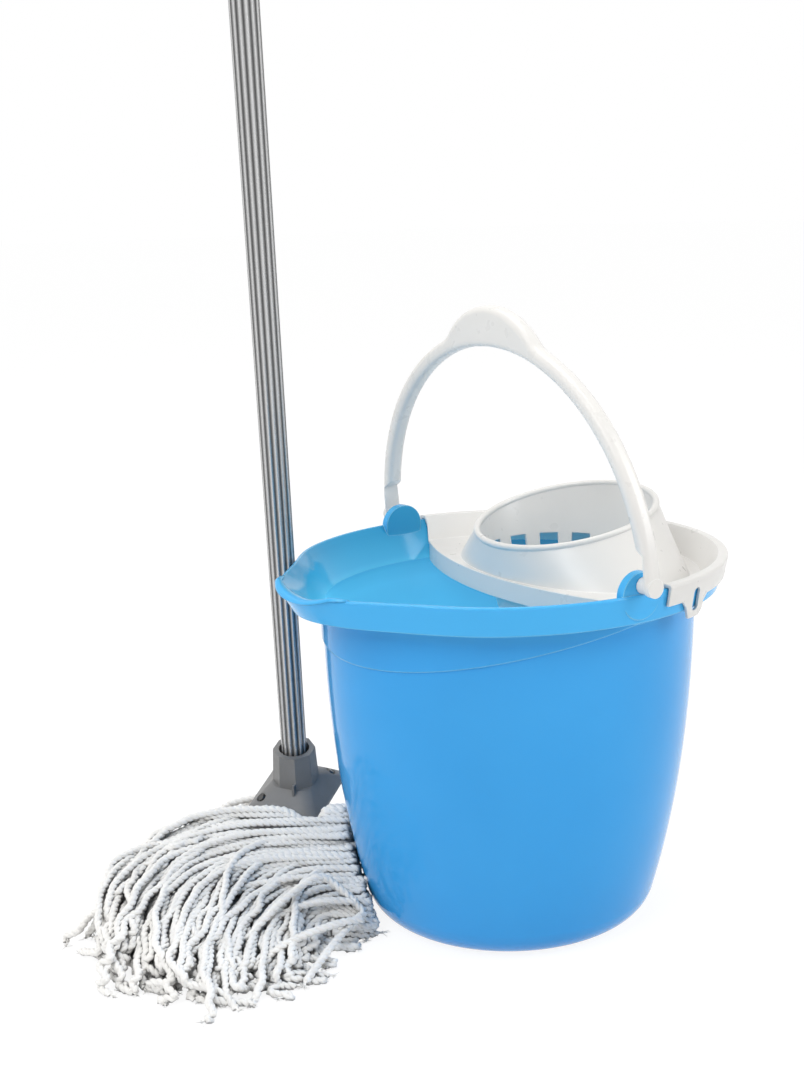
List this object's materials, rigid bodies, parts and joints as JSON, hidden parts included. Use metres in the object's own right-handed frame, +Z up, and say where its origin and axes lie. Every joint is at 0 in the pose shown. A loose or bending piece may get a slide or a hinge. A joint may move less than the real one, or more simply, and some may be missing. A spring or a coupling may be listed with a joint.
{
  "type": "mop and bucket with wringer",
  "caption": "Oval plastic bucket with spout, bail and hook-on slotted wringer cup, and a yarn mop on a steel stick leaning at its rim.",
  "frame": {"origin": "centre of the bucket's foot, on the floor", "axes": "+Z up; +X towards the wringer end, -X towards the spout; the bail turns about Y"},
  "size_m": [0.5141, 0.3813, 1.1926],
  "materials": {
    "bucket_plastic": "glossy moulded blue",
    "bail_plastic": "satin off-white",
    "wringer_plastic": "satin light grey",
    "socket_plastic": "matt mid grey",
    "clamp_plastic": "matt mid grey",
    "rivet_steel": "plain steel",
    "stick_steel": "bright plated",
    "plug_plastic": "matt grey",
    "cap_plastic": "matt mid grey",
    "yarn": "twisted cotton yarn"
  },
  "bodies": {
    "bucket": {"bucket_body": "bucket_plastic"},
    "bail": {"bail_handle": "bail_plastic"},
    "wringer": {"wringer": "wringer_plastic"},
    "mop": {"mop_socket": "socket_plastic", "yarn_clamp": "clamp_plastic", "clamp_rivets": "rivet_steel", "yarn_head": "yarn"},
    "mop_stick": {"stick_tube": "stick_steel", "thread_plug": "plug_plastic", "stick_cap": "cap_plastic"}
  },
  "joints": [
    {"name": "bail_swing", "type": "hinge", "parent": "bucket", "child": "bail", "pos_m": [0, 0, 0.2965], "axis": [0, -1, 0], "range_deg": [-5, 65]},
    {"name": "wringer_lift", "type": "slide", "parent": "bucket", "child": "wringer", "axis": [0.2079, 0, 0.9781], "range_m": [0, 0.3]},
    {"name": "mop_lift", "type": "slide", "parent": "bucket", "child": "mop", "axis": [-0.6563, 0.457, 0.6003], "range_m": [0, 0.35]},
    {"name": "stick_turn", "type": "hinge", "parent": "mop", "child": "mop_stick", "pos_m": [-0.1209, 0.13697, 0.117], "axis": [-0.1488, -0.2097, 0.9664], "continuous": true}
  ]
}
